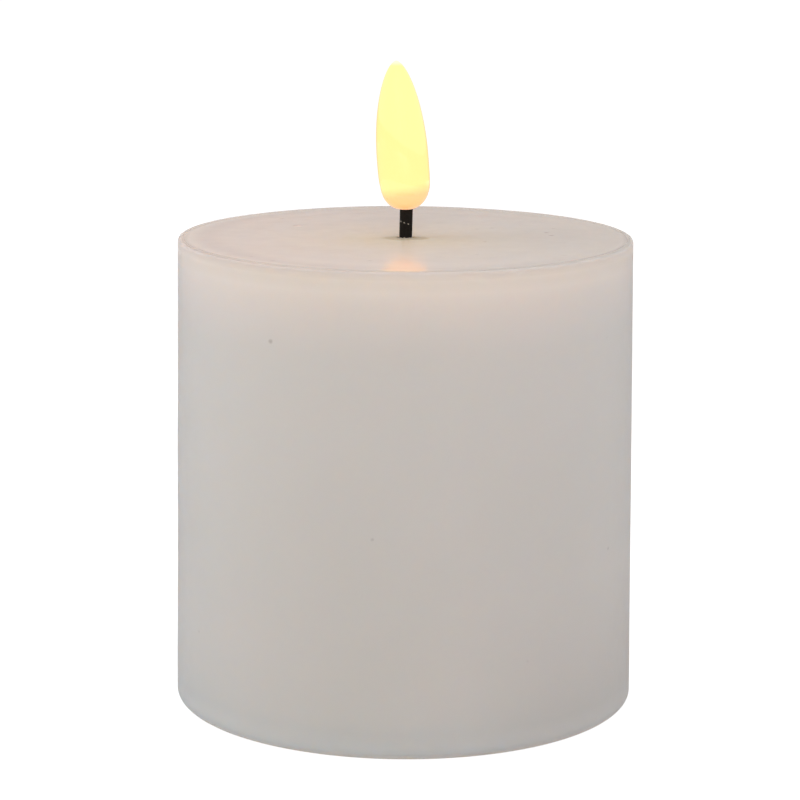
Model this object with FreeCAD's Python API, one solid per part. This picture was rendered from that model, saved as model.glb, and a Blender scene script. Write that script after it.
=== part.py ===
import FreeCAD, Part
import math
import os

# A battery pillar candle with a real-wax body and a fixed, flame-shaped LED lens on a black wick.
# Everything is in millimetres. The origin is the centre of the wax foot, with +Z up. The switch is
# on the +Y side and the battery door's latch is at its +X end. One STEP file is written per piece.

V = FreeCAD.Vector
ALONG_X = V(1, 0, 0)
ALONG_Y = V(0, 1, 0)
ALONG_Z = V(0, 0, 1)

# ---- Wax body: a cast cylinder with mould draft, hollow from below ----
WAX_HEIGHT = 101.3
WAX_FOOT_RADIUS = 50.0
WAX_TOP_RADIUS = 48.9
FOOT_EDGE = 1.7
TOP_EDGE = 0.6
WAX_CAVITY_RADIUS = 40.0
DISH_RADIUS = 6.2
DISH_DEPTH = 0.12
WICK_HOLE_RADIUS = 1.7

# ---- Base plate, set back from the table ----
BASE_RADIUS = 43.0
BASE_LOW = 1.6
BASE_TOP = 3.6
GLUE_GAP = 0.4
MARK_HEIGHT = 0.25

# ---- Inner can: a plastic cup inside the wax ----
CAN_RADIUS = 38.8
CAN_WALL = 1.6
CAN_TOP = 84.0
CAN_ROOF = 2.0
CHIMNEY_RADIUS = 4.5
CHIMNEY_BORE = 2.9
CHIMNEY_TOP = 95.0

# ---- Three screws join the base plate to posts in the can ----
SCREW_CIRCLE = 32.5
SCREW_ANGLES = (45.0, 135.0, 270.0)
POST_RADIUS = 3.0
POST_LOW = 5.4
POST_TOP = 24.0
PILOT_RADIUS = 1.0
HEAD_RADIUS = 2.4
HEAD_HEIGHT = 1.5
HEAD_SEAT = 3.6

# ---- Two AA cells lie side by side along X ----
CELL_RADIUS = 7.1
CELL_BODY = 49.0
NUB_RADIUS = 2.7
NUB_LENGTH = 1.2
CELL_Z = 11.3
BAY_Y = -4.0
CELL_SPACING = 15.0
BAY_HALF_LENGTH = 28.8
BAY_HALF_WIDTH = 15.3
BAY_WALL = 1.4
BAY_ROOF_LOW = 18.8
CONTACT_THICKNESS = 0.4
CONTACT_FACE = 28.3
NUB_RISE = 0.5
SPRING_WIRE = 0.35
SPRING_TURNS = 4.5

# ---- Battery door, hinged at its -X end and latched at its +X end ----
DOOR_TOP = 3.4
DOOR_GAP = 0.3
DOOR_NEAR = -29.2
DOOR_FAR = 30.1
HINGE_X = -32.0
HINGE_Z = 3.1
BARREL_RADIUS = 1.4
BARREL_HALF = 8.0
PIN_RADIUS = 1.0
PIN_LENGTH = 2.2
PIN_CLEARANCE = 0.06
HINGE_SLACK = 0.6
LATCH_HALF = 4.5
LATCH_INNER_X = 30.4
LATCH_OUTER_X = 34.3
LATCH_STRIP = 0.9
LATCH_BEND_Z = 10.0
LATCH_HOOK = 1.4
LATCH_PLAY = 0.4
LATCH_MOUTH = 0.6

# ---- Three-position slide switch: on, off and timer, 2 mm apart ----
SWITCH_Y = 25.0
SWITCH_TRAVEL = 4.0
KNOB_HALF_LENGTH = 2.4
KNOB_HALF_WIDTH = 1.6
KNOB_LOW = 0.8
FRAME_LOW = 7.4
ACTUATOR_HALF = 1.0

# ---- Main board, beside the battery bay ----
BOARD_LOW = 12.0
BOARD_TOP = 13.2
BOARD_HALF_LENGTH = 19.0
BOARD_NEAR_Y = 14.2
BOARD_ARC_RADIUS = 36.0
BOARD_POSTS = ((-15.0, 18.0), (15.0, 18.0))

# ---- Wick, leads and flame ----
WICK_RADIUS = 1.42
WICK_BORE = 0.95
WICK_LOW = 86.0
WICK_TOP = 108.5
LEAD_RADIUS = 0.22
LEAD_SPACING = 1.0
JOINT_SPACING = 2.8
JOINT_Z = 73.0
JOINT_HALF = 4.0
LED_WIRE_RADIUS = 0.6
LED_WIRE_PAD_Y = 30.6
LED_RADIUS = 1.5
LED_LOW = 108.6
LED_DOME_Z = 110.9
FLAME_BOTTOM = 107.3
FLAME_WIDEST = 118.0
FLAME_TIP = 138.95
FLAME_HALF_WIDTH = 5.55
FLAME_DEPTH_SHARE = 0.8
FLAME_FOOT_ROUND = 4.0
FLAME_SIDE_OFFSET = -0.2
FLAME_LEAN = 2.0
FLAME_LEAN_START = 112.0
FLAME_SECTIONS = 18

BATTERY_WIRE_RADIUS = 0.65
TAB_TOP = 22.4


# ---- Small builders ----

def rod(radius, low, high, x=0.0, y=0.0):
    """A vertical cylinder from z = low to z = high."""
    return Part.makeCylinder(radius, high - low, V(x, y, low))


def rod_along(axis, radius, start, length):
    """A cylinder of that length from the start point along an axis."""
    return Part.makeCylinder(radius, length, start, axis)


def block(x_range, y_range, z_range):
    """A box given by its low and high value on each axis."""
    (x0, x1), (y0, y1), (z0, z1) = x_range, y_range, z_range
    return Part.makeBox(x1 - x0, y1 - y0, z1 - z0, V(x0, y0, z0))


def about(centre, half):
    """The low and high value of a span given by its centre and half length."""
    return (centre - half, centre + half)


def soften(shape, radius, picks):
    """Rounds the edges for which picks(edge) is true."""
    return shape.makeFillet(radius, [e for e in shape.Edges if picks(e)])


def is_upright(edge):
    """True for a straight edge along Z."""
    ends = edge.Vertexes
    if len(ends) != 2:
        return False
    across = (ends[0].Point - ends[1].Point)
    return abs(across.x) < 1e-6 and abs(across.y) < 1e-6


def outline_face(start, steps, place):
    """A flat face from an outline: a step is an end point, or an arc as (middle point, end point)."""
    edges = []
    here = start
    for step in list(steps) + [start]:
        if isinstance(step[0], tuple):
            middle, end = step
            edges.append(Part.Arc(place(*here), place(*middle), place(*end)).toShape())
        else:
            end = step
            edges.append(Part.LineSegment(place(*here), place(*end)).toShape())
        here = end
    return Part.Face(Part.Wire(edges))


def turned(start, steps):
    """The solid swept by an (r, z) outline turned once about the Z axis."""
    face = outline_face(start, steps, lambda r, z: V(r, 0, z))
    return face.revolve(V(0, 0, 0), ALONG_Z, 360)


def corner_arc(centre, radius, degrees):
    """The point at an angle on a corner's arc, in the outline's own plane."""
    angle = math.radians(degrees)
    return (centre[0] + radius * math.cos(angle), centre[1] + radius * math.sin(angle))


def routed(points, radius):
    """A round cable of straight runs joined by tangent arcs, each as large as its two runs allow."""
    points = [V(*p) for p in points]
    edges = []
    here = points[0]
    for before, corner, after in zip(points, points[1:], points[2:]):
        back = (before - corner)
        onward = (after - corner)
        shorter = min(back.Length, onward.Length)
        back.normalize()
        onward.normalize()
        half_turn = (math.pi - back.getAngle(onward)) / 2
        setback = 0.45 * shorter
        arc_radius = setback / math.tan(half_turn)
        entry = corner + back * setback
        leave = corner + onward * setback
        bisector = back + onward
        bisector.normalize()
        centre = corner + bisector * (arc_radius / math.cos(half_turn))
        middle = centre - bisector * arc_radius
        edges.append(Part.LineSegment(here, entry).toShape())
        edges.append(Part.Arc(entry, middle, leave).toShape())
        here = leave
    edges.append(Part.LineSegment(here, points[-1]).toShape())
    path = Part.Wire(edges)
    first = (points[1] - points[0]).normalize()
    ring = Part.Wire([Part.makeCircle(radius, points[0], first)])
    return path.makePipeShell([ring], True, True)


def on_circle(radius, degrees):
    """The x and y of a point on a circle about the Z axis."""
    angle = math.radians(degrees)
    return radius * math.cos(angle), radius * math.sin(angle)


def together(shapes):
    """Several separate solids as one node."""
    return Part.makeCompound(list(shapes))


# ---- Wax ----

def wax_pillar():
    """The cast wax body: rounded foot and rim, a shallow dish round the wick, and a stepped cavity."""
    foot_centre = (WAX_FOOT_RADIUS - FOOT_EDGE, FOOT_EDGE)
    rim_centre = (WAX_TOP_RADIUS - TOP_EDGE, WAX_HEIGHT - TOP_EDGE)
    chimney_hole = CHIMNEY_RADIUS + GLUE_GAP
    chimney_hole_top = CHIMNEY_TOP + 1.8
    cavity_top = CAN_TOP + GLUE_GAP
    mouth = BASE_RADIUS + GLUE_GAP
    rebate_top = BASE_TOP + GLUE_GAP / 2
    dish_low = WAX_HEIGHT - DISH_DEPTH
    dish_middle = ((DISH_RADIUS + WICK_HOLE_RADIUS) / 2, WAX_HEIGHT - 0.7 * DISH_DEPTH)
    steps = [
        (foot_centre[0], 0.0),
        (corner_arc(foot_centre, FOOT_EDGE, -45), (WAX_FOOT_RADIUS, FOOT_EDGE)),
        (WAX_TOP_RADIUS, rim_centre[1]),
        (corner_arc(rim_centre, TOP_EDGE, 45), (rim_centre[0], WAX_HEIGHT)),
        (DISH_RADIUS, WAX_HEIGHT),
        (dish_middle, (WICK_HOLE_RADIUS, dish_low)),
        (WICK_HOLE_RADIUS, chimney_hole_top),
        (chimney_hole, chimney_hole_top),
        (chimney_hole, cavity_top),
        (WAX_CAVITY_RADIUS, cavity_top),
        (WAX_CAVITY_RADIUS, rebate_top),
        (mouth, rebate_top),
    ]
    return turned((mouth, 0.0), steps)


def glue_beads():
    """Six beads of hot-melt glue that bridge the gap between the can and the wax."""
    arc = 16.0
    beads = []
    for number in range(6):
        section = outline_face(
            (CAN_RADIUS, 6.0),
            [(WAX_CAVITY_RADIUS, 6.0), (WAX_CAVITY_RADIUS, 10.0), (CAN_RADIUS, 10.0)],
            lambda r, z: V(r, 0, z))
        bead = section.revolve(V(0, 0, 0), ALONG_Z, arc)
        bead.rotate(V(0, 0, 0), ALONG_Z, 60.0 * number - arc / 2)
        beads.append(bead)
    return together(beads)


# ---- Can ----

def inner_can():
    """The cup inside the wax, with a chimney for the wick and three ribbed screw posts."""
    inside = CAN_RADIUS - CAN_WALL
    roof_low = CAN_TOP - CAN_ROOF
    can = rod(CAN_RADIUS, BASE_TOP, CAN_TOP).cut(rod(inside, BASE_TOP, roof_low))
    can = can.fuse(rod(CHIMNEY_RADIUS, CAN_TOP, CHIMNEY_TOP))
    can = can.cut(rod(CHIMNEY_BORE, roof_low, CHIMNEY_TOP))
    for degrees in SCREW_ANGLES:
        x, y = on_circle(SCREW_CIRCLE, degrees)
        rib = block((SCREW_CIRCLE, inside + 0.5), (-0.8, 0.8), (POST_LOW, POST_TOP))
        rib.rotate(V(0, 0, 0), ALONG_Z, degrees)
        can = can.fuse(rod(POST_RADIUS, POST_LOW, POST_TOP, x, y).fuse(rib))
        can = can.cut(rod(PILOT_RADIUS, POST_LOW, POST_LOW + 12.0, x, y))
    return can.removeSplitter()


# ---- Base plate with the battery bay ----

def door_opening():
    """The hole in the base plate for the door, its hinge and its latch."""
    top = BASE_TOP + 0.01
    low = BASE_LOW - 1.0
    main = block((DOOR_NEAR - HINGE_SLACK, DOOR_FAR + DOOR_GAP),
                 about(BAY_Y, BAY_HALF_WIDTH + 0.8), (low, top))
    hinge = block((HINGE_X - 1.8, DOOR_NEAR), about(BAY_Y, BARREL_HALF + DOOR_GAP), (low, top))
    latch = block((DOOR_FAR, LATCH_OUTER_X + LATCH_MOUTH), about(BAY_Y, LATCH_HALF + 0.8), (low, top))
    main = soften(main, 2.0, lambda e: is_upright(e) and e.Vertexes[0].X > 0)
    return main.fuse(hinge).fuse(latch)


def battery_bay():
    """The walls and roof round the two cells, with slots for the solder tabs and a rib between cells."""
    half_x = BAY_HALF_LENGTH
    half_y = BAY_HALF_WIDTH
    roof_top = BAY_ROOF_LOW + BAY_WALL
    outer = block((-half_x - BAY_WALL, half_x + BAY_WALL),
                  about(BAY_Y, half_y + BAY_WALL), (BASE_TOP, roof_top))
    outer = soften(outer, 1.5, is_upright)
    inner = block((-half_x, half_x), about(BAY_Y, half_y), (BASE_TOP, BAY_ROOF_LOW))
    bay = outer.cut(inner)
    for side in (-1, 1):
        y = BAY_Y + side * CELL_SPACING / 2
        slot = block((half_x - 0.8, half_x), about(y, 1.6), (BAY_ROOF_LOW, roof_top))
        bay = bay.cut(slot)
        for end in (-1, 1):
            bay = bay.cut(polarity_mark(end * 21.0, y, positive=(end == side)))
    divider = block((-24.0, 24.0), about(BAY_Y, 0.3), (BAY_ROOF_LOW - 3.0, BAY_ROOF_LOW))
    return bay.fuse(divider)


def polarity_mark(x, y, positive):
    """A plus or minus sign sunk into the bay's roof above a cell's end."""
    z_range = (BAY_ROOF_LOW, BAY_ROOF_LOW + MARK_HEIGHT)
    mark = block(about(x, 2.0), about(y, 0.4), z_range)
    if positive:
        mark = mark.fuse(block(about(x, 0.4), about(y, 2.0), z_range))
    return mark


def hinge_lugs():
    """Two blocks on the base plate that hold the door's pins."""
    lugs = []
    for side in (-1, 1):
        near = BAY_Y + side * (BARREL_HALF + DOOR_GAP)
        far = near + side * PIN_LENGTH
        lugs.append(block((HINGE_X - 1.8, -BAY_HALF_LENGTH - BAY_WALL + 0.1),
                          (min(near, far), max(near, far)), (BASE_TOP - 0.5, HINGE_Z + 2.2)))
    return lugs


def switch_marks():
    """Raised signs beside the switch: a bar for on, a ring for off and a small clock for the timer."""
    y = SWITCH_Y + 6.4
    z_range = (BASE_LOW - MARK_HEIGHT, BASE_LOW + 0.1)
    low, high = z_range
    bar = block(about(-5.5, 0.25), about(y, 1.4), z_range)
    ring = rod(1.4, low, high, 0.0, y).cut(rod(1.0, low, high, 0.0, y))
    clock = rod(1.5, low, high, 5.5, y).cut(rod(1.15, low, high, 5.5, y))
    hands = block((5.35, 5.65), (y, y + 1.2), z_range).fuse(block((5.35, 6.3), (y, y + 0.3), z_range))
    return [bar, ring, clock.fuse(hands)]


def base_plate():
    """The round plate that closes the wax, with the battery bay, screw cups, board posts and switch slot."""
    plate = rod(BASE_RADIUS, BASE_LOW, BASE_TOP)
    plate = soften(plate, 0.4, lambda e: abs(e.BoundBox.ZMax - BASE_LOW) < 1e-6)
    rim = rod(BASE_RADIUS - 0.8, BASE_LOW - 0.4, BASE_LOW + 0.1)
    plate = plate.fuse(rim.cut(rod(BASE_RADIUS - 1.9, BASE_LOW - 0.4, BASE_LOW + 0.1)))
    plate = plate.fuse(battery_bay())
    for lug in hinge_lugs():
        plate = plate.fuse(lug)
    for x, y in BOARD_POSTS:
        plate = plate.fuse(rod(2.4, BASE_TOP - 0.5, BOARD_LOW, x, y))
        plate = plate.cut(rod(0.8, BASE_TOP + 1.4, BOARD_LOW, x, y))
    for degrees in SCREW_ANGLES:
        x, y = on_circle(SCREW_CIRCLE, degrees)
        plate = plate.fuse(rod(3.8, BASE_TOP - 0.5, POST_LOW - 0.1, x, y))
        plate = plate.cut(rod(HEAD_RADIUS + 0.2, BASE_LOW - 1.0, HEAD_SEAT, x, y))
        plate = plate.cut(rod(1.4, HEAD_SEAT - 0.1, POST_LOW, x, y))
    plate = plate.cut(door_opening())
    pin_bore = rod_along(ALONG_Y, PIN_RADIUS + PIN_CLEARANCE,
                         V(HINGE_X, BAY_Y - BARREL_HALF - DOOR_GAP - PIN_LENGTH, HINGE_Z),
                         2 * (BARREL_HALF + DOOR_GAP + PIN_LENGTH))
    plate = plate.cut(pin_bore)
    slot_half = SWITCH_TRAVEL / 2 + KNOB_HALF_LENGTH + 0.3
    slot = block(about(0.0, slot_half), about(SWITCH_Y, KNOB_HALF_WIDTH + 0.3), (0.0, BASE_TOP + 0.01))
    thumb_dish = block(about(0.0, 8.0), about(SWITCH_Y, 3.6), (0.0, BASE_LOW + 0.6))
    thumb_dish = soften(thumb_dish, 2.0, is_upright)
    plate = plate.cut(slot).cut(thumb_dish)
    for mark in switch_marks():
        plate = plate.fuse(mark)
    return plate.removeSplitter()


def cross_recess(z_low, z_high, x, y, half):
    """The cross cut in a screw head."""
    across = block(about(x, half), about(y, 0.35), (z_low, z_high))
    return across.fuse(block(about(x, 0.35), about(y, half), (z_low, z_high)))


def base_screws():
    """Three countersunk self-tapping screws that hold the base plate to the can."""
    screws = []
    for degrees in SCREW_ANGLES:
        x, y = on_circle(SCREW_CIRCLE, degrees)
        head_low = HEAD_SEAT - HEAD_HEIGHT
        head = rod(HEAD_RADIUS, head_low, HEAD_SEAT, x, y)
        head = soften(head, 0.5, lambda e: abs(e.BoundBox.ZMax - head_low) < 1e-6)
        screw = head.fuse(rod(0.95, HEAD_SEAT, POST_LOW + 10.0, x, y))
        screws.append(screw.cut(cross_recess(head_low - 0.1, head_low + 0.9, x, y, 1.4)))
    return together(screws)


# ---- Door and latch ----

def battery_door():
    """The flat door with its hinge barrel and pins, two cell ribs, the latch's root and an arrow."""
    half_width = BAY_HALF_WIDTH + 0.5
    door = block((DOOR_NEAR, DOOR_FAR), about(BAY_Y, half_width), (BASE_LOW, DOOR_TOP))
    door = soften(door, 1.7, lambda e: is_upright(e) and e.Vertexes[0].X > 0)
    tongue = block((HINGE_X, DOOR_NEAR + 0.1), about(BAY_Y, BARREL_HALF), (BASE_LOW + 0.1, DOOR_TOP))
    barrel = rod_along(ALONG_Y, BARREL_RADIUS, V(HINGE_X, BAY_Y - BARREL_HALF, HINGE_Z), 2 * BARREL_HALF)
    pins = rod_along(ALONG_Y, PIN_RADIUS, V(HINGE_X, BAY_Y - BARREL_HALF - PIN_LENGTH, HINGE_Z),
                     2 * (BARREL_HALF + PIN_LENGTH))
    shelf = block((DOOR_FAR - 0.1, LATCH_INNER_X + LATCH_STRIP + 0.2),
                  about(BAY_Y, LATCH_HALF + 0.5), (BASE_LOW, DOOR_TOP))
    root = block((LATCH_INNER_X, LATCH_INNER_X + LATCH_STRIP), about(BAY_Y, LATCH_HALF),
                 (DOOR_TOP - 0.5, LATCH_BEND_Z))
    door = door.fuse(tongue).fuse(barrel).fuse(pins).fuse(shelf).fuse(root)
    for x in (-12.0, 12.0):
        door = door.fuse(block(about(x, 0.5), about(BAY_Y, half_width - 2.0), (DOOR_TOP, DOOR_TOP + 0.6)))
    z_range = (BASE_LOW - MARK_HEIGHT, BASE_LOW + 0.1)
    arrow = outline_face((27.0, BAY_Y - 2.2), [(27.0, BAY_Y + 2.2), (23.6, BAY_Y)],
                         lambda x, y: V(x, y, z_range[0]))
    door = door.fuse(arrow.extrude(V(0, 0, z_range[1] - z_range[0])))
    for number in range(3):
        door = door.fuse(block(about(21.6 - 1.8 * number, 0.35), about(BAY_Y, 3.5), z_range))
    return door.removeSplitter()


def door_latch():
    """The door's spring tongue: a bend over the root, a leg with a hook over the base plate, a finger lip."""
    outer_radius = (LATCH_OUTER_X - LATCH_INNER_X) / 2
    inner_radius = outer_radius - LATCH_STRIP
    bend = (LATCH_INNER_X + outer_radius, LATCH_BEND_Z)
    inner_face = LATCH_INNER_X + LATCH_STRIP
    outer_face = LATCH_OUTER_X - LATCH_STRIP
    hook_low = BASE_TOP + LATCH_PLAY
    hook_tip = LATCH_OUTER_X + LATCH_HOOK
    lip_face = outer_face - 0.8
    steps = [
        (corner_arc(bend, outer_radius, 90), (LATCH_OUTER_X, LATCH_BEND_Z)),
        (LATCH_OUTER_X, hook_low + 2.2),
        (hook_tip, hook_low + 0.4),
        (hook_tip, hook_low),
        (LATCH_OUTER_X, hook_low),
        (LATCH_OUTER_X, BASE_LOW),
        (lip_face, BASE_LOW),
        (lip_face, BASE_LOW + 0.8),
        (outer_face, BASE_LOW + 1.4),
        (outer_face, LATCH_BEND_Z),
        (corner_arc(bend, inner_radius, 90), (inner_face, LATCH_BEND_Z)),
    ]
    profile = outline_face((LATCH_INNER_X, LATCH_BEND_Z), steps,
                           lambda x, z: V(x, BAY_Y - LATCH_HALF, z))
    return profile.extrude(V(0, 2 * LATCH_HALF, 0))


# ---- Cells and contacts ----

def cell_y(side):
    """The Y of a cell's axis."""
    return BAY_Y + side * CELL_SPACING / 2


def battery(side):
    """One AA cell. Side -1 has its nub towards -X, and side 1 towards +X."""
    y = cell_y(side)
    nub_tip = side * (CONTACT_FACE - NUB_RISE)
    body_start = nub_tip - side * NUB_LENGTH
    along = V(-side, 0, 0)
    body = rod_along(along, CELL_RADIUS, V(body_start, y, CELL_Z), CELL_BODY)
    body = soften(body, 0.7, lambda e: len(e.Vertexes) == 1)
    nub = rod_along(along, NUB_RADIUS, V(nub_tip, y, CELL_Z), NUB_LENGTH + 0.5)
    nub = soften(nub, 0.4, lambda e: abs(e.BoundBox.Center.x - nub_tip) < 1e-6)
    groove_start = V(body_start - side * 1.6, y, CELL_Z)
    groove = rod_along(along, CELL_RADIUS, groove_start, 0.5)
    groove = groove.cut(rod_along(along, CELL_RADIUS - 0.25, groove_start, 0.5))
    return body.fuse(nub).cut(groove)


def contact_plate(end, y_range, with_tab_at=None):
    """A thin plate at one end of the bay, with a solder tab through the roof if with_tab_at gives its Y."""
    face = end * CONTACT_FACE
    back = end * (CONTACT_FACE + CONTACT_THICKNESS)
    x_range = (min(face, back), max(face, back))
    plate = block(x_range, y_range, (CELL_Z - 6.0, CELL_Z + 6.0))
    if with_tab_at is not None:
        plate = plate.fuse(block(x_range, about(with_tab_at, 1.2), (CELL_Z + 5.0, TAB_TOP)))
    return plate


def contact_nub(end, y):
    """The pressed dome that meets a cell's nub."""
    face = end * CONTACT_FACE
    dome = Part.makeCone(2.6, 1.7, NUB_RISE, V(face, y, CELL_Z), V(-end, 0, 0))
    return dome


def cell_spring(end, side):
    """A conical compression spring from the contact plate to a cell's flat end."""
    y = cell_y(side)
    plate_x = CONTACT_FACE - SPRING_WIRE - 0.03
    cell_end_x = CELL_BODY + NUB_LENGTH - (CONTACT_FACE - NUB_RISE)
    tip_x = cell_end_x + SPRING_WIRE + 0.03
    length = plate_x - tip_x
    base_radius = 4.2
    taper = math.degrees(math.atan2(base_radius - 2.4, length))
    helix = Part.makeHelix(length / SPRING_TURNS, length, base_radius, -taper)
    edge = helix.Edges[0]
    begin = edge.FirstParameter
    ring = Part.Wire([Part.makeCircle(SPRING_WIRE, edge.valueAt(begin), edge.tangentAt(begin))])
    coil = Part.Wire(helix.Edges).makePipeShell([ring], True, True)
    coil.rotate(V(0, 0, 0), ALONG_Y, -90.0 * end)
    coil.translate(V(end * plate_x, y, CELL_Z))
    return coil


# ---- Switch ----

def knob_x():
    """The middle of the knob when the switch is on."""
    return -SWITCH_TRAVEL / 2


def switch_frame():
    """The slide switch's body on the underside of the main board, with its slot and six pins."""
    frame = block(about(0.0, 6.6), about(SWITCH_Y, 3.2), (FRAME_LOW, BOARD_LOW))
    slot = block(about(0.0, SWITCH_TRAVEL / 2 + ACTUATOR_HALF + 0.2),
                 about(SWITCH_Y, ACTUATOR_HALF + 0.1), (FRAME_LOW, FRAME_LOW + 2.2))
    frame = frame.cut(slot)
    for x in (-5.0, -2.0, 1.0, 4.0):
        frame = frame.fuse(rod(0.35, BOARD_LOW - 0.2, BOARD_TOP + 1.0, x, SWITCH_Y + 2.2))
    return frame


def switch_actuator():
    """The square post of the slide switch."""
    return block(about(knob_x(), ACTUATOR_HALF), about(SWITCH_Y, ACTUATOR_HALF),
                 (5.0, FRAME_LOW + 2.0))


def switch_knob():
    """The finger knob, with a wide plate that covers the slot and a socket for the switch's post."""
    x = knob_x()
    knob = block(about(x, KNOB_HALF_LENGTH), about(SWITCH_Y, KNOB_HALF_WIDTH), (KNOB_LOW, 4.0))
    knob = soften(knob, 0.5, is_upright)
    cover = block(about(x, 7.0), about(SWITCH_Y, 2.9), (BASE_TOP + 0.2, BASE_TOP + 1.1))
    collar = block(about(x, 2.0), about(SWITCH_Y, 2.0), (BASE_TOP + 1.0, 6.6))
    knob = knob.fuse(cover).fuse(collar)
    socket_half = ACTUATOR_HALF + 0.05
    knob = knob.cut(block(about(x, socket_half), about(SWITCH_Y, socket_half), (4.9, 6.7)))
    for number in (-1, 0, 1):
        knob = knob.cut(block(about(x + 1.4 * number, 0.3), about(SWITCH_Y, 2.0),
                              (KNOB_LOW, KNOB_LOW + 0.35)))
    return knob.removeSplitter()


# ---- Boards and what is on them ----

def main_board():
    """The circuit board beside the battery bay, with holes for its screws and the switch's pins."""
    board = block(about(0.0, BOARD_HALF_LENGTH), (BOARD_NEAR_Y, BOARD_ARC_RADIUS), (BOARD_LOW, BOARD_TOP))
    board = board.common(rod(BOARD_ARC_RADIUS, BOARD_LOW, BOARD_TOP))
    board = board.cut(block((-40.0, 40.0), (33.0, 40.0), (BOARD_LOW, BOARD_TOP)))
    for x, y in BOARD_POSTS:
        board = board.cut(rod(1.0, BOARD_LOW, BOARD_TOP, x, y))
    for x in (-5.0, -2.0, 1.0, 4.0):
        board = board.cut(rod(0.4, BOARD_LOW, BOARD_TOP, x, SWITCH_Y + 2.2))
    return board


def main_board_screws():
    """Two pan-head screws that hold the main board to its posts."""
    screws = []
    for x, y in BOARD_POSTS:
        head_top = BOARD_TOP + 1.2
        head = rod(1.9, BOARD_TOP, head_top, x, y)
        head = soften(head, 0.5, lambda e: abs(e.BoundBox.ZMin - head_top) < 1e-6)
        screw = head.fuse(rod(0.78, BOARD_TOP - 6.0, BOARD_TOP, x, y))
        screws.append(screw.cut(cross_recess(head_top - 0.7, head_top, x, y, 1.1)))
    return together(screws)


def controller_chip():
    """The eight-pin timer and driver chip."""
    x, y = 0.0, 18.6
    chip = block(about(x, 2.5), about(y, 1.95), (BOARD_TOP + 0.15, BOARD_TOP + 1.6))
    for number in range(4):
        pin_x = x - 1.905 + 1.27 * number
        for side in (-1, 1):
            reach = sorted((y + side * 1.9, y + side * 3.0))
            chip = chip.fuse(block(about(pin_x, 0.2), reach, (BOARD_TOP, BOARD_TOP + 0.35)))
    return chip


def timing_crystal():
    """The small metal can that times the six-hour programme, lying on the board."""
    can = rod_along(ALONG_X, 1.0, V(-14.5, 30.0, BOARD_TOP + 1.0), 6.2)
    return soften(can, 0.3, lambda e: len(e.Vertexes) == 1)


def smoothing_capacitor():
    """An upright electrolytic capacitor with a rolled groove near its foot."""
    x, y = 10.5, 27.5
    can = rod(2.5, BOARD_TOP, BOARD_TOP + 7.0, x, y)
    can = soften(can, 0.4, lambda e: abs(e.BoundBox.ZMin - BOARD_TOP - 7.0) < 1e-6)
    groove = rod(2.6, BOARD_TOP + 1.2, BOARD_TOP + 1.7, x, y).cut(
        rod(2.25, BOARD_TOP + 1.2, BOARD_TOP + 1.7, x, y))
    return can.cut(groove)


def boost_inductor():
    """A drum-core inductor: two flanges with a winding between them."""
    x, y = -9.0, 22.5
    drum = rod(3.0, BOARD_TOP, BOARD_TOP + 0.9, x, y)
    drum = drum.fuse(rod(2.3, BOARD_TOP + 0.9, BOARD_TOP + 3.3, x, y))
    return drum.fuse(rod(3.0, BOARD_TOP + 3.3, BOARD_TOP + 4.2, x, y))


def board_parts():
    """Resistors and ceramic capacitors on the main board."""
    places = [(5.5, 16.4), (5.5, 18.8), (-4.8, 16.4), (-4.8, 19.4), (5.2, 30.2), (-5.6, 30.2)]
    return together(block(about(x, 0.8), about(y, 0.45), (BOARD_TOP, BOARD_TOP + 0.5))
                    for x, y in places)


# ---- Wick and flame ----

def wick_bush():
    """The soft bush that holds the wick upright in the chimney."""
    bush = rod(CHIMNEY_BORE - 0.03, WICK_LOW, CHIMNEY_TOP).fuse(
        rod(CHIMNEY_RADIUS - 0.3, CHIMNEY_TOP, CHIMNEY_TOP + 1.2))
    return bush.cut(rod(WICK_RADIUS + 0.03, WICK_LOW, CHIMNEY_TOP + 1.2))


def wick_sleeve():
    """The black tube that carries the leads from the chimney to the flame."""
    return rod(WICK_RADIUS, WICK_LOW, WICK_TOP).cut(rod(WICK_BORE, WICK_LOW, WICK_TOP))


def led_leads():
    """The LED's two legs, down through the wick and spread apart below the chimney."""
    near = LEAD_SPACING / 2
    spread = JOINT_SPACING / 2
    return together(routed([(side * near, 0, LED_LOW), (side * near, 0, CAN_TOP + 0.5),
                            (side * spread, 0, CAN_TOP - 5.0), (side * spread, 0, JOINT_Z + 0.2)],
                           LEAD_RADIUS) for side in (-1, 1))


def lead_sleeves():
    """Two shrunk sleeves over the joints between the LED's legs and its wires."""
    sleeves = []
    for side in (-1, 1):
        x = side * JOINT_SPACING / 2
        sleeve = rod(LED_WIRE_RADIUS + 0.22, JOINT_Z - JOINT_HALF, JOINT_Z + JOINT_HALF, x, 0.0)
        sleeve = soften(sleeve, 0.3, lambda e: e.BoundBox.ZMin > JOINT_Z and len(e.Vertexes) == 1)
        sleeve = sleeve.cut(rod(LED_WIRE_RADIUS + 0.02, JOINT_Z - JOINT_HALF, JOINT_Z, x, 0.0))
        sleeves.append(sleeve.cut(rod(LEAD_RADIUS + 0.05, JOINT_Z, JOINT_Z + JOINT_HALF, x, 0.0)))
    return together(sleeves)


def flame_led():
    """The domed LED in the foot of the flame."""
    return rod(LED_RADIUS, LED_LOW, LED_DOME_Z).fuse(Part.makeSphere(LED_RADIUS, V(0, 0, LED_DOME_Z)))


def flame_half_width(z):
    """Half the flame's width at a height: a blunt round foot below the widest point, a pointed tip above."""
    if z < FLAME_WIDEST:
        share = (FLAME_WIDEST - z) / (FLAME_WIDEST - FLAME_BOTTOM)
        return FLAME_HALF_WIDTH * (1 - share ** 4) ** 0.45
    share = (z - FLAME_WIDEST) / (FLAME_TIP - FLAME_WIDEST)
    return FLAME_HALF_WIDTH * (1 - share ** 2) ** 0.6


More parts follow.
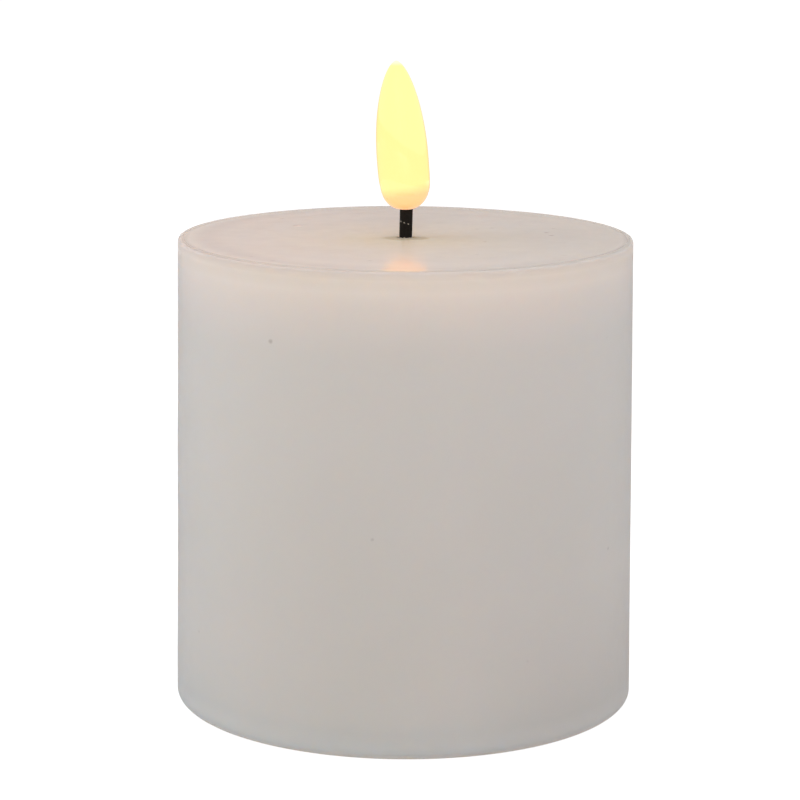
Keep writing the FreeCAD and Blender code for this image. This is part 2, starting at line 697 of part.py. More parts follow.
def flame_centre(z):
    """The X of the flame's middle at a height: it leans to -X above its foot."""
    rise = max(0.0, z - FLAME_LEAN_START) / (FLAME_TIP - FLAME_LEAN_START)
    return FLAME_SIDE_OFFSET - FLAME_LEAN * rise ** 0.9


def flame_depth_share(z):
    """The flame's depth as a share of its width: round at the foot, and flatter above it."""
    foot_share = max(0.0, 1 - (z - FLAME_BOTTOM) / FLAME_FOOT_ROUND)
    return FLAME_DEPTH_SHARE + (0.999 - FLAME_DEPTH_SHARE) * foot_share


def flame_lens():
    """The solid diffusing flame, with a pocket for the LED and the end of the wick."""
    low = FLAME_BOTTOM + 0.2
    high = FLAME_TIP - 0.1
    wires = []
    for number in range(FLAME_SECTIONS):
        share = 0.5 - 0.5 * math.cos(math.pi * number / (FLAME_SECTIONS - 1))
        z = low + (high - low) * share
        half = flame_half_width(z)
        section = Part.Ellipse(V(flame_centre(z), 0, z), half, half * flame_depth_share(z))
        wires.append(Part.Wire([section.toShape()]))
    lens = Part.makeLoft(wires, True, False)
    lens = lens.cut(rod(WICK_RADIUS + 0.05, low - 1.0, LED_LOW - 0.1))
    lens = lens.cut(rod(LED_RADIUS + 0.05, LED_LOW - 0.1, LED_DOME_Z))
    return lens.cut(Part.makeSphere(LED_RADIUS + 0.05, V(0, 0, LED_DOME_Z)))


# ---- Wires ----

def red_wire():
    """From the positive contact's tab over the bay wall to the main board."""
    y = cell_y(1)
    return routed([(28.5, y, TAB_TOP), (28.5, y, 29.0), (24.8, y + 4.0, 34.2), (17.6, y + 8.6, 33.4),
                   (11.8, y + 12.2, 28.6), (10.4, y + 12.9, 21.4), (10.4, y + 12.9, BOARD_TOP)],
                  BATTERY_WIRE_RADIUS)


def black_wire():
    """From the negative contact's tab across the bay roof to the main board."""
    y = cell_y(-1)
    return routed([(28.5, y, TAB_TOP), (28.5, y, 29.6), (24.0, y + 3.0, 35.6), (14.6, y + 8.0, 37.0),
                   (4.2, y + 14.6, 35.4), (-4.6, y + 21.6, 31.8), (-9.8, y + 26.6, 25.2),
                   (-10.8, y + 27.9, 18.8), (-10.8, y + 27.9, BOARD_TOP)], BATTERY_WIRE_RADIUS)


def led_wires():
    """Two wires from the main board up the back of the can to the LED's legs."""
    y = LED_WIRE_PAD_Y
    wires = []
    for side in (-1, 1):
        x = side * JOINT_SPACING / 2
        wires.append(routed([(x, y, BOARD_TOP), (x, y, 24.0), (x, y - 3.0, 36.0), (x, y - 12.0, 46.0),
                             (x, y - 24.0, 53.0), (x, 0.0, 62.0), (x, 0.0, JOINT_Z - 0.2)],
                            LED_WIRE_RADIUS))
    return together(wires)


def pieces():
    """Every piece by node name."""
    both_cells = (cell_y(-1) - 5.5, cell_y(1) + 5.5)
    negative_y = cell_y(-1)
    positive_y = cell_y(1)
    bridge = contact_plate(-1, both_cells).fuse(contact_nub(-1, negative_y))
    positive = contact_plate(1, about(positive_y, 5.5), positive_y).fuse(contact_nub(1, positive_y))
    return {
        "wax_pillar": wax_pillar(),
        "glue_beads": glue_beads(),
        "inner_can": inner_can(),
        "base_plate": base_plate(),
        "base_screws": base_screws(),
        "battery_door": battery_door(),
        "door_latch": door_latch(),
        "battery_1": battery(-1),
        "battery_2": battery(1),
        "negative_contact": contact_plate(1, about(negative_y, 5.5), negative_y),
        "positive_contact": positive,
        "bridge_contact": bridge,
        "negative_spring": cell_spring(1, -1),
        "bridge_spring": cell_spring(-1, 1),
        "switch_frame": switch_frame(),
        "switch_actuator": switch_actuator(),
        "switch_knob": switch_knob(),
        "main_board": main_board(),
        "main_board_screws": main_board_screws(),
        "controller_chip": controller_chip(),
        "timing_crystal": timing_crystal(),
        "smoothing_capacitor": smoothing_capacitor(),
        "boost_inductor": boost_inductor(),
        "board_parts": board_parts(),
        "wick_bush": wick_bush(),
        "wick_sleeve": wick_sleeve(),
        "led_leads": led_leads(),
        "lead_sleeves": lead_sleeves(),
        "flame_led": flame_led(),
        "flame_lens": flame_lens(),
        "red_wire": red_wire(),
        "black_wire": black_wire(),
        "led_wires": led_wires(),
    }


os.makedirs("parts", exist_ok=True)
for node, shape in pieces().items():
    solids = shape.Solids
    print(f"{node:20s} {len(solids)} solid(s), valid {shape.isValid()}, {shape.Volume / 1000:8.3f} cm3")
    shape.exportStep(os.path.join("parts", node + ".step"))
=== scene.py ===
"""The looks of a flameless wax candle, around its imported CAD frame. Lengths are in metres."""

import math

import bpy
import numpy as np
from mathutils import Matrix, Vector


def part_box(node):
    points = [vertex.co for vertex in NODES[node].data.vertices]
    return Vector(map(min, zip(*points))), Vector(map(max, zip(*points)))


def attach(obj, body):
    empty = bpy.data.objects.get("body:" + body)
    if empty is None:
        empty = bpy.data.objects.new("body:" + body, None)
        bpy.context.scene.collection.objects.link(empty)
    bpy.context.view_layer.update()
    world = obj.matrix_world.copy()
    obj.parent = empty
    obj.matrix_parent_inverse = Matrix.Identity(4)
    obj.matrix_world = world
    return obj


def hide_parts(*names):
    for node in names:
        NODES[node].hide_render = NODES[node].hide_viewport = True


MM = 0.001
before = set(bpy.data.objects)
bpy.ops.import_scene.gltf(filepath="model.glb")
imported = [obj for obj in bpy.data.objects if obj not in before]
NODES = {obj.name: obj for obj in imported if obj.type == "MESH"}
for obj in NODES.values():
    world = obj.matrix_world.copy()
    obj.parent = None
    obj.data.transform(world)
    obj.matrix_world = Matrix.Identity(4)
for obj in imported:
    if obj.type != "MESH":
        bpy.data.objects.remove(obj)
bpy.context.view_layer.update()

# ---- Camera, with its angles in radians ----
CAMERA_PLACE = (0.0, -0.60878, 0.1910)
CAMERA_TILT = 0.20357
CAMERA_TURN = 0.00171
CAMERA_ROLL = 0.00504
CAMERA_LENS = 128.54
SENSOR_WIDTH = 36.0

# ---- Stage ----
FLOOR_SIZE = 12.0
FLOOR_TONE = (0.40, 0.40, 0.40)
FLOOR_SEEN_LIGHT = 0.8
WORLD_LIGHT = (0.604, 0.539, 0.507)
WORLD_SEEN = (1.0, 1.0, 1.0)

# ---- Wax ----
WAX_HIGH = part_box("wax_pillar")[1]
FOOT_RADIUS = WAX_HIGH.x
WAX_HEIGHT = WAX_HIGH.z
TOP_RADIUS = 48.9 * MM
FOOT_EDGE = 1.5 * MM
TOP_EDGE = 0.6 * MM
MOUTH_RADIUS = 43.4 * MM
CAVITY_RADIUS = 40.0 * MM
REBATE_TOP = 3.8 * MM
CAVITY_TOP = 84.4 * MM
CHIMNEY_RADIUS = 4.9 * MM
CHIMNEY_TOP = 96.8 * MM
DISH_RADIUS = 7.7 * MM
DISH_DEPTH = 0.12 * MM
WICK_HOLE_RADIUS = 1.7 * MM
WAX_COLUMNS = 360
# How uneven the cast surfaces are: the side's long swells, its small dents and its mean inset, and the top.
SIDE_SWELL = 0.03 * MM
SIDE_DENTS = 0.012 * MM
SIDE_INSET = 0.045 * MM
TOP_UNEVEN = 0.022 * MM
RIM_WAVER = 0.06 * MM
RIM_WAVER_POWER = 6
TORN_WIDTH = 1.2 * MM
TORN_SPREAD = 0.14 * MM
TORN_RISE = 0.10 * MM
# The hole's torn edge as waves round it: (turns, waves per metre, phase, share).
TORN_WAVES = ((5, 0, 0.4, 1), (9, 0, 2.1, 0.8), (14, 0, 4.0, 0.7), (23, 0, 1.0, 0.5))

# A drop of spilt wax, and dark specks caught in the wax.
WAX_DROP = (-23.7 * MM, 15.2 * MM, WAX_HEIGHT)
DROP_RADIUS = 1.1 * MM
DROP_HEIGHT = 0.3 * MM
# Each speck as (x, y, z in mm, radius in mm, strength).
SPECK_LIST = (
    (-27.4, -41.1, 85.7, 0.75, 0.75), (46.9, -15.5, 1.8, 0.7, 0.8), (20.1, -45.1, 3.2, 0.55, 0.5),
    (48.1, -11.4, 1.9, 0.7, 0.5), (-43.2, -24.0, 19.8, 0.5, 0.35), (42.2, -25.7, 84.1, 0.55, 0.35),
    (25.4, -42.4, 19.3, 0.45, 0.4), (-37.5, -32.2, 2.3, 0.5, 0.3), (43.0, -24.4, 38.6, 0.5, 0.3),
    (-6.4, -49.0, 46.6, 0.45, 0.25), (36.0, 33.0, 62.0, 0.6, 0.5), (-21.0, 44.5, 30.0, 0.55, 0.5),
    (30.6, 6.7, 101.2, 0.7, 0.5), (31.5, 2.2, 101.2, 0.8, 0.5), (32.4, 12.8, 101.2, 0.6, 0.3),
    (16.8, -7.1, 101.2, 0.6, 0.3), (-7.3, -34.1, 101.2, 0.7, 0.25), (-27.8, 26.2, 101.2, 0.7, 0.25),
    (-41.0, -24.0, 101.2, 0.6, 0.2), (-31.6, -29.5, 101.2, 0.7, 0.15), (-27.0, -34.5, 101.2, 0.7, 0.18),
    (14.8, -25.2, 101.2, 0.6, 0.2), (32.8, -25.2, 101.2, 0.9, 0.15), (18.9, 13.0, 101.2, 0.8, 0.22),
    (11.6, -40.5, 101.2, 0.6, 0.15), (15.6, 11.5, 101.2, 0.6, 0.2),
)
WAX_SPECKS = [((x * MM, y * MM, z * MM), size * MM, strength) for x, y, z, size, strength in SPECK_LIST]

# ---- Wax colours ----
WAX_DARK = (0.662, 0.612, 0.562)
WAX_LIGHT = (0.680, 0.622, 0.574)
# Tints multiply the wax's colour, and each span says where its tint comes in or dies away. Most tints here
# are painted light and shade.
# Painted warm light from the flame, in the top's middle.
FLAME_GLOW_TINT = (1.03, 0.985, 0.87)
FLAME_GLOW_SPAN = (8 * MM, 38 * MM)
FLAME_GLOW_OFFSET = 5.0 * MM
# A painted shade ring just inside the top's rim.
SHADED_RING_TINT = (0.905, 0.91, 0.925)
SHADED_RING_RADIUS = 45.0 * MM
SHADED_RING_OFFSET = 1.5 * MM
SHADED_RING_SPAN = (0.5 * MM, 4.5 * MM)
# Painted shade round the wick, under the flame: a wide halo and a darker ragged core.
HALO_SHADE_TINT = (0.955, 0.945, 0.85)
HALO_OFFSET = 5.0 * MM
HALO_FLATTENING = 1.3
HALO_SPAN = (5 * MM, 18 * MM)
WICK_SHADE_TINT = (0.78, 0.72, 0.54)
WICK_SHADE_OFFSET = 2.4 * MM
WICK_SHADE_FLATTENING = 1.5
WICK_SHADE_SPAN = (5.0 * MM, 6.6 * MM)
# Painted light on the top's left, and painted shade on its right and far left.
TOP_LEFT_LIGHT_TINT = (1.07, 1.015, 1.0)
TOP_LEFT_SPAN = (-35 * MM, 20 * MM)
TOP_RIGHT_SHADE_TINT = (0.95, 0.98, 0.985)
TOP_RIGHT_SPAN = (-5 * MM, 40 * MM)
TOP_FAR_LEFT_SHADE_TINT = (0.95, 0.965, 0.98)
TOP_FAR_LEFT_SPAN = (-42 * MM, -30 * MM)
# Painted shade on the side just under the rim.
HIGH_SIDE_SHADE_TINT = (0.92, 0.90, 0.89)
HIGH_SIDE_SPAN = (96.8 * MM, 99.6 * MM)
# Painted shade on the rounded rim edge, darker on the left.
EDGE_LEFT_SHADE_TINT = (0.665, 0.64, 0.635)
EDGE_RIGHT_SHADE_TINT = (0.71, 0.695, 0.69)
EDGE_LEFT_TO_RIGHT = (-35 * MM, 40 * MM)
EDGE_RADIUS_SPAN = (TOP_RADIUS - 2.4 * MM, TOP_RADIUS - 1.0 * MM)
EDGE_HEIGHT_SPAN = (WAX_HEIGHT - 1.9 * MM, WAX_HEIGHT - 0.1 * MM)
# Painted light on the shoulder below the rim.
SHOULDER_LIGHT_TINT = (1.04, 1.03, 1.03)
SHOULDER_RISE = (84 * MM, 92 * MM)
SHOULDER_FADE = (96.8 * MM, 98.6 * MM)
# Painted light on the foot, lifting the shade near the floor.
FOOT_LIGHT_TINT = (1.38, 1.28, 1.21)
FOOT_SPAN = (0.7 * MM, 6.0 * MM)
FOOT_POWER = 1.7
# Painted shade low on the right side.
LOW_RIGHT_SHADE_TINT = (0.895, 0.90, 0.895)
LOW_RIGHT_ACROSS = (12 * MM, 44 * MM)
LOW_RIGHT_UP = (8 * MM, 34 * MM)
SPECK_TINT = (0.42, 0.36, 0.33)
# A painted glint on the drop.
DROP_GLINT_TINT = (1.18, 1.06, 1.06)
DROP_GLINT_SPAN = (0.4 * MM, 1.2 * MM)
# Light that a pale table throws back into the foot's lowest edge.
BOUNCE_LIGHT = (0.20, 0.165, 0.145)
BOUNCE_SPAN = (0.0, 1.5 * MM)
BOUNCE_POWER = 1.3

# ---- Wax gloss and relief ----
TOP_SPAN = (WAX_HEIGHT - 0.5 * MM, WAX_HEIGHT - 0.25 * MM)
SIDE_ROUGHNESS = (0.30, 0.42)
TOP_ROUGHNESS = (0.12, 0.17)
WICK_AREA_ROUGHNESS = 0.075
WICK_AREA_SPAN = (5 * MM, 36 * MM)
EDGE_ROUGHNESS = 0.62
DULL_EDGE_RADIUS_SPAN = (TOP_RADIUS - 1.6 * MM, TOP_RADIUS - 0.4 * MM)
DULL_EDGE_HEIGHT_SPAN = (WAX_HEIGHT - 3 * MM, WAX_HEIGHT - 0.8 * MM)
CROWN_SPAN = (5 * MM, 47 * MM)
CROWN_DEPTH = 0.45 * MM
SOFT_DEPTH = 0.2 * MM
GRAIN_DEPTH = 0.05 * MM
SCRATCH_DEPTH = 0.06 * MM
DROP_POWER = 0.6

# ---- Flame, along the CAD lens's curves to within 0.3 mm ----
FLAME_BOTTOM = 107.08 * MM
FLAME_WIDEST = 118.0 * MM
FLAME_TIP = 138.95 * MM
FLAME_HALF_WIDTH = 5.55 * MM
# How full the flame's outline is below and above its widest place, as (inner power, outer power).
FLAME_FOOT_CURVE = (4, 0.45)
FLAME_TIP_CURVE = (2, 0.6)
FLAME_DEPTH_SHARE = 0.8
FLAME_SIDE_OFFSET = -0.2 * MM
FLAME_LEAN = 2.0 * MM
FLAME_LEAN_START = 112.0 * MM
FLAME_LEAN_POWER = 0.9
FLAME_FOOT_CUT = 0.2 * MM
FLAME_TIP_CUT = 0.02 * MM
FLAME_ROUND_FOOT = 4 * MM
FLAME_POCKET_DEPTH = 1.4 * MM
FLAME_POCKET_SPARE = 0.05 * MM
FLAME_COLUMNS = 96
FLAME_RINGS = 90
FLAME_FOOT_DARK = (1.35, 0.60, 0.255)
FLAME_FOOT_LIGHT = (1.40, 0.655, 0.262)
FLAME_BODY_LIGHT = (1.50, 0.98, 0.340)
FLAME_TIP_LIGHT = (1.35, 1.0, 0.72)
FLAME_FOOT_SPAN = (107.6 * MM, 110.4 * MM)
FLAME_BODY_SPAN = (110.5 * MM, 112.8 * MM)
FLAME_TIP_SPAN = (137.9 * MM, 138.6 * MM)
FLAME_SLANT = -0.15
FLAME_RAGGED = 0.3 * MM

# ---- Wick ----
WICK_LOW, WICK_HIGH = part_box("wick_sleeve")
WICK_RADIUS = WICK_HIGH.x
WEAVE_RIBS = 7
WEAVE_PITCH = 0.16 * MM
WEAVE_DEPTH = 0.045 * MM
WEAVE_INSET = 0.03 * MM
WICK_BEND = 0.12 * MM
WICK_BEND_HEIGHT = 6 * MM
WICK_COLUMNS = 60
WICK_RINGS = 90
WICK_SHOWN_LOW = WAX_HEIGHT - 2 * MM
WICK_HIDDEN_END = 0.3 * MM
# One pale line climbs round the wick, and shows in short dashes up to an angle in radians.
DASH_LINE_HEIGHT = WAX_HEIGHT + 3.0 * MM
DASH_LINE_CLIMB = -0.4 * MM
DASH_LINE_WIDTH_SPAN = (0.03 * MM, 0.10 * MM)
DASH_LINE_END_SPAN = (0.7, 0.9)
DASH_RATE = 9.7
DASH_PHASE = 3.9

# ---- Lamps, as (name, place, target, size, watts, colour) ----
LOW_TARGET = (0, 0, 0.06)
MIDDLE_TARGET = (0, 0, 0.08)
HIGH_TARGET = (0, 0, 0.09)
LAMPS = (
    ("front", (0.0, -1.4, 0.25), LOW_TARGET, 0.8, 4.3, (0.66, 0.88, 1.0)),
    ("left", (-1.3, -0.2, 0.4), LOW_TARGET, 0.7, 1.4, (0.0, 0.63, 1.0)),
    ("right", (1.3, -0.2, 0.4), LOW_TARGET, 0.7, 0.69, (0.0, 0.32, 1.0)),
    ("close_front", (0.0, -0.24, 0.25), HIGH_TARGET, 0.15, 0.216, (1.0, 0.985, 1.0)),
    ("close_right", (0.18, -0.16, 0.22), HIGH_TARGET, 0.15, 0.090, (0.82, 0.91, 1.0)),
    ("side_left", (-0.3, 0.0, 0.25), MIDDLE_TARGET, 0.2, 0.469, (1.0, 0.94, 0.93)),
    ("rim_left", (-0.8, 0.5, 0.25), LOW_TARGET, 0.5, 1.07, (0.0, 0.52, 1.0)),
    ("rim_right", (0.8, 0.5, 0.25), LOW_TARGET, 0.5, 3.28, (0.82, 0.935, 1.0)),
)


# ---- Mesh helpers ----

def mesh_object(name, points, faces):
    """A smooth-shaded mesh object from points and faces."""
    mesh = bpy.data.meshes.new(name)
    mesh.from_pydata([tuple(p) for p in points], [], [tuple(f) for f in faces])
    mesh.validate()
    mesh.shade_smooth()
    piece = bpy.data.objects.new(name, mesh)
    bpy.context.scene.collection.objects.link(piece)
    return piece


def grid_faces(rings, columns, closed=False):
    """Quads between rings of points, each once round, and from the last ring to the first if closed."""
    faces = []
    last = rings if closed else rings - 1
    for ring in range(last):
        here = ring * columns
        above = ((ring + 1) % rings) * columns
        for column in range(columns):
            beside = (column + 1) % columns
            faces.append((here + column, here + beside, above + beside, above + column))
    return faces


def waves(seed, count, low, high):
    """Seeded sine waves over angle and height, as (turns, waves per metre, phase, share)."""
    random = np.random.default_rng(seed)
    return [(int(random.integers(0, 7)), float(random.uniform(low, high)),
             float(random.uniform(0, 2 * math.pi)), float(random.uniform(0.4, 1.0)))
            for _ in range(count)]


def wave_sum(pattern, angle, along):
    """The sum of the waves at an angle and a place along the surface, about -1 to 1."""
    total = sum(share for _, _, _, share in pattern)
    value = 0
    for turns, rate, phase, share in pattern:
        value = value + share * np.sin(turns * angle + 2 * math.pi * rate * along + phase)
    return value / total * 2


# ---- Wax ----

def arc_points(centre, radius, start, end, count):
    """Points on an arc in the (r, z) plane, between two angles in degrees."""
    angles = np.radians(np.linspace(start, end, count))
    return [(centre[0] + radius * math.cos(a), centre[1] + radius * math.sin(a)) for a in angles]


def line_points(start, end, count):
    """Points on a line in the (r, z) plane, without its two ends."""
    shares = np.linspace(0, 1, count + 2)[1:-1]
    return [(start[0] + (end[0] - start[0]) * s, start[1] + (end[1] - start[1]) * s) for s in shares]


def wax_profile():
    """The wax's section as (r, z), from the foot round the outside, over the top and back down the inside."""
    foot = (FOOT_RADIUS - FOOT_EDGE, FOOT_EDGE)
    rim = (TOP_RADIUS - TOP_EDGE, WAX_HEIGHT - TOP_EDGE)
    top_inner = (DISH_RADIUS, WAX_HEIGHT)
    dish = []
    for share in np.linspace(0, 1, 16):
        radius = top_inner[0] + (WICK_HOLE_RADIUS - top_inner[0]) * share
        fall = 0.5 - 0.5 * math.cos(math.pi * min(1.0, share * 1.15))
        dish.append((radius, WAX_HEIGHT - DISH_DEPTH * fall))
    inside = [
        (WICK_HOLE_RADIUS - 0.05 * MM, WAX_HEIGHT - DISH_DEPTH - 0.35 * MM),
        (WICK_HOLE_RADIUS, WAX_HEIGHT - DISH_DEPTH - 1.2 * MM),
        (WICK_HOLE_RADIUS, CHIMNEY_TOP),
        (CHIMNEY_RADIUS, CHIMNEY_TOP),
        (CHIMNEY_RADIUS, CAVITY_TOP),
        (CAVITY_RADIUS, CAVITY_TOP),
        (CAVITY_RADIUS, REBATE_TOP),
        (MOUTH_RADIUS, REBATE_TOP),
        (MOUTH_RADIUS, 0.0),
    ]
    points = line_points(inside[-1], (foot[0], 0.0), 4)
    points += arc_points(foot, FOOT_EDGE, -90, 0, 12)
    points += line_points((FOOT_RADIUS, foot[1]), (TOP_RADIUS, rim[1]), 108)
    points += arc_points(rim, TOP_EDGE, 0, 90, 10)
    points += line_points((rim[0], WAX_HEIGHT), top_inner, 56)
    return points + dish + inside


def wax_piece():
    """The cast wax, with a slightly uneven side, a soft wavering rim, a sunk top and a torn wick hole."""
    profile = np.array(wax_profile())
    rings = len(profile)
    angle = np.linspace(0, 2 * math.pi, WAX_COLUMNS, endpoint=False)
    radius = np.repeat(profile[:, :1], WAX_COLUMNS, axis=1)
    height = np.repeat(profile[:, 1:], WAX_COLUMNS, axis=1)
    turn = np.repeat(angle[None, :], rings, axis=0)

    is_side = (profile[:, 0] > CAVITY_RADIUS + 5 * MM) & (profile[:, 1] > 0.2 * MM)
    is_side &= profile[:, 1] < WAX_HEIGHT - 0.2 * MM
    swell = wave_sum(waves(11, 14, 8, 30), turn, height)
    dents = wave_sum(waves(12, 18, 30, 90), turn, height)
    hollow = SIDE_SWELL * swell + SIDE_DENTS * dents + SIDE_INSET
    radius = radius - np.where(is_side[:, None], hollow, 0.0)

    is_top = (profile[:, 1] > WAX_HEIGHT - 2 * MM) & (profile[:, 0] > WICK_HOLE_RADIUS - 0.02 * MM)
    sag = wave_sum(waves(13, 16, 20, 90), turn, radius)
    rim_waver = wave_sum(waves(14, 12, 0, 1), turn, 0 * turn)
    share = np.clip(radius / TOP_RADIUS, 0, 1)
    height = height - np.where(is_top[:, None], TOP_UNEVEN * (1 + sag), 0.0)
    rim_fall = RIM_WAVER * np.clip(share, 0.6, 1.0) ** RIM_WAVER_POWER * (1 + rim_waver)
    height = height - np.where(is_top[:, None], rim_fall, 0.0)

    near_hole = (profile[:, 0] < WICK_HOLE_RADIUS + TORN_WIDTH) & (profile[:, 1] > CHIMNEY_TOP + 1 * MM)
    torn = wave_sum(TORN_WAVES, turn, 0 * turn)
    fade = np.clip((WICK_HOLE_RADIUS + TORN_WIDTH - radius) / TORN_WIDTH, 0, 1)
    radius = radius + np.where(near_hole[:, None], TORN_SPREAD * fade * torn, 0.0)
    height = height + np.where(near_hole[:, None], TORN_RISE * fade * np.abs(torn), 0.0)

    points = np.stack([radius * np.cos(turn), radius * np.sin(turn), height], axis=-1).reshape(-1, 3)
    return mesh_object("wax_body", points, grid_faces(rings, WAX_COLUMNS, closed=True))


# ---- Flame ----

def flame_half_width(z):
    """Half the flame's width at a height."""
    if z < FLAME_WIDEST:
        share = (FLAME_WIDEST - z) / (FLAME_WIDEST - FLAME_BOTTOM)
        inner, outer = FLAME_FOOT_CURVE
    else:
        share = (z - FLAME_WIDEST) / (FLAME_TIP - FLAME_WIDEST)
        inner, outer = FLAME_TIP_CURVE
    return FLAME_HALF_WIDTH * max(0.0, 1 - share ** inner) ** outer


def flame_centre(z):
    """The X of the flame's middle at a height."""
    rise = max(0.0, z - FLAME_LEAN_START) / (FLAME_TIP - FLAME_LEAN_START)
    return FLAME_SIDE_OFFSET - FLAME_LEAN * rise ** FLAME_LEAN_POWER


def flame_piece():
    """The flame lens: a smooth drop with a pocket in its foot for the wick's end."""
    columns = FLAME_COLUMNS
    low = FLAME_BOTTOM + FLAME_FOOT_CUT
    high = FLAME_TIP - FLAME_TIP_CUT
    rings = []
    for share in np.linspace(0, 1, FLAME_RINGS):
        z = low + (high - low) * (0.5 - 0.5 * math.cos(math.pi * share))
        half = flame_half_width(z)
        foot_share = max(0.0, 1 - (z - low) / FLAME_ROUND_FOOT)
        depth = half * (FLAME_DEPTH_SHARE + (1 - FLAME_DEPTH_SHARE) * foot_share)
        rings.append((flame_centre(z), z, half, depth))
    pocket_radius = WICK_RADIUS + FLAME_POCKET_SPARE
    pocket = [(0.0, z, pocket_radius, pocket_radius) for z in (low + FLAME_POCKET_DEPTH, low)]
    points = []
    for centre, z, half, depth in pocket + rings:
        for column in range(columns):
            angle = 2 * math.pi * column / columns
            points.append((centre + half * math.cos(angle), depth * math.sin(angle), z))
    count = len(pocket) + len(rings)
    faces = grid_faces(count, columns)
    faces.append(tuple(reversed(range(columns))))
    faces.append(tuple((count - 1) * columns + column for column in range(columns)))
    return mesh_object("flame", points, faces)


# ---- Wick ----

def wick_piece():
    """The wick's sleeve: woven diagonal ribs on a tube that is a little bent."""
    columns = WICK_COLUMNS
    heights = [WICK_LOW.z] + list(np.linspace(WICK_SHOWN_LOW, WICK_HIGH.z - WICK_HIDDEN_END, WICK_RINGS))
    points = []
    for z in heights:
        for column in range(columns):
            angle = 2 * math.pi * column / columns
            slope = z / WEAVE_PITCH
            weave = math.sin(WEAVE_RIBS * angle + slope) * math.sin(WEAVE_RIBS * angle - slope)
            radius = WICK_RADIUS - WEAVE_INSET + WEAVE_DEPTH * weave * (z >= WICK_SHOWN_LOW)
            bend = WICK_BEND * max(0.0, (z - WAX_HEIGHT) / WICK_BEND_HEIGHT)
            points.append((bend + radius * math.cos(angle), radius * math.sin(angle), z))
    rings = len(heights)
    faces = grid_faces(rings, columns)
    faces.append(tuple(reversed(range(columns))))
    faces.append(tuple((rings - 1) * columns + column for column in range(columns)))
    piece = mesh_object("wick", points, faces)
    piece.visible_glossy = False
    return piece


# ---- Materials ----

class Material:
    """A node material with a Principled shader, and short calls for the nodes that drive it."""

    def __init__(self, name, **settings):
        self.material = bpy.data.materials.new(name)
        self.material.use_nodes = True
        self.tree = self.material.node_tree
        self.shader = self.tree.nodes["Principled BSDF"]
        for key, value in settings.items():
            self.shader.inputs[key.replace("_", " ")].default_value = value
        self.place = self.node("ShaderNodeTexCoord").outputs["Object"]

    def node(self, kind, inputs=None, **properties):
        """A node with its inputs set to values or linked from sockets."""
        node = self.tree.nodes.new(kind)
        for key, value in properties.items():
            setattr(node, key, value)
        for key, value in (inputs or {}).items():
            if isinstance(value, bpy.types.NodeSocket):
                self.tree.links.new(value, node.inputs[key])
            else:
                node.inputs[key].default_value = value
        return node

    def noise(self, scale, detail=3.0, rough=0.5, place=None):
        """Noise from 0 to 1 at a scale in waves per metre."""
        inputs = {"Vector": place or self.place, "Scale": scale, "Detail": detail, "Roughness": rough}
        return self.node("ShaderNodeTexNoise", inputs).outputs["Fac"]

    def math(self, operation, first, second=0.0):
        """One calculation on two values or sockets."""
        return self.node("ShaderNodeMath", {0: first, 1: second}, operation=operation).outputs[0]

    def band(self, value, low, high, start=0.0, end=1.0):
        """A value mapped from low..high to start..end, held outside."""
        inputs = {"Value": value, "From Min": low, "From Max": high, "To Min": start, "To Max": end}
        return self.node("ShaderNodeMapRange", inputs, clamp=True).outputs["Result"]

    def blend(self, share, first, second, blend_type):
        """Two colours or sockets put together."""
        node = self.node("ShaderNodeMix", data_type="RGBA", blend_type=blend_type)
        for index, value in ((0, share), (6, first), (7, second)):
            if isinstance(value, bpy.types.NodeSocket):
                self.tree.links.new(value, node.inputs[index])
            else:
                node.inputs[index].default_value = value
        return node.outputs[2]

    def mix(self, share, first, second):
        """A colour between two colours or sockets."""
        return self.blend(share, first, second, "MIX")

    def tint(self, colour, by, *masks):
        """A colour multiplied by another, where all the masks overlap."""
        share = masks[0]
        for mask in masks[1:]:
            share = self.math("MULTIPLY", share, mask)
        return self.blend(share, colour, rgb(*by), "MULTIPLY")

    def rise(self, value, span):
        """0 before a span of values and 1 after it."""
        return self.band(value, *span)

    def fall(self, value, span):
        """1 before a span of values and 0 after it."""
        return self.band(value, *span, 1.0, 0.0)

    def blend_values(self, share, first, second):
        """A value between two values or sockets."""
        return self.node("ShaderNodeMix", {0: share, 2: first, 3: second}).outputs[0]

    def warped(self, scale, amount):
        """The place on the object, shaken a little so that round marks come out ragged."""
        shake = self.node("ShaderNodeTexNoise", {"Vector": self.place, "Scale": scale}).outputs["Color"]
        centred = self.node("ShaderNodeVectorMath", {0: shake, 1: (0.5, 0.5, 0.5)}, operation="SUBTRACT")
        scaled = self.node("ShaderNodeVectorMath", {0: centred.outputs[0], "Scale": amount},
                           operation="SCALE")
        return self.node("ShaderNodeVectorMath", {0: self.place, 1: scaled.outputs[0]}).outputs[0]

    def axes(self):
        """The X, Y and Z of the place on the object, in metres."""
        split = self.node("ShaderNodeSeparateXYZ", {"Vector": self.place})
        return split.outputs["X"], split.outputs["Y"], split.outputs["Z"]

    def reach(self, first, second):
        """The length of the vector with these two parts."""
        parts = self.node("ShaderNodeCombineXYZ", {0: first, 1: second})
        return self.node("ShaderNodeVectorMath", {0: parts.outputs[0]}, operation="LENGTH").outputs["Value"]

    def distance(self, first, second):
        """The distance between two places."""
        return self.node("ShaderNodeVectorMath", {0: first, 1: second}, operation="DISTANCE").outputs["Value"]

    def stretched(self, x, y, z):
        """The place on the object with each axis scaled."""
        scale = self.node("ShaderNodeVectorMath", {0: self.place, 1: (x, y, z)}, operation="MULTIPLY")
        return scale.outputs[0]

    def bump(self, height, strength, distance, below=None):
        """Bump from a height, over another bump if given."""
        inputs = {"Height": height, "Strength": strength, "Distance": distance}
        if below is not None:
            inputs["Normal"] = below
        return self.node("ShaderNodeBump", inputs).outputs["Normal"]

    def drive(self, name, socket):
        """Links a socket to one of the shader's inputs."""
        self.tree.links.new(socket, self.shader.inputs[name])


def rgb(red, green, blue):
    return (red, green, blue, 1.0)


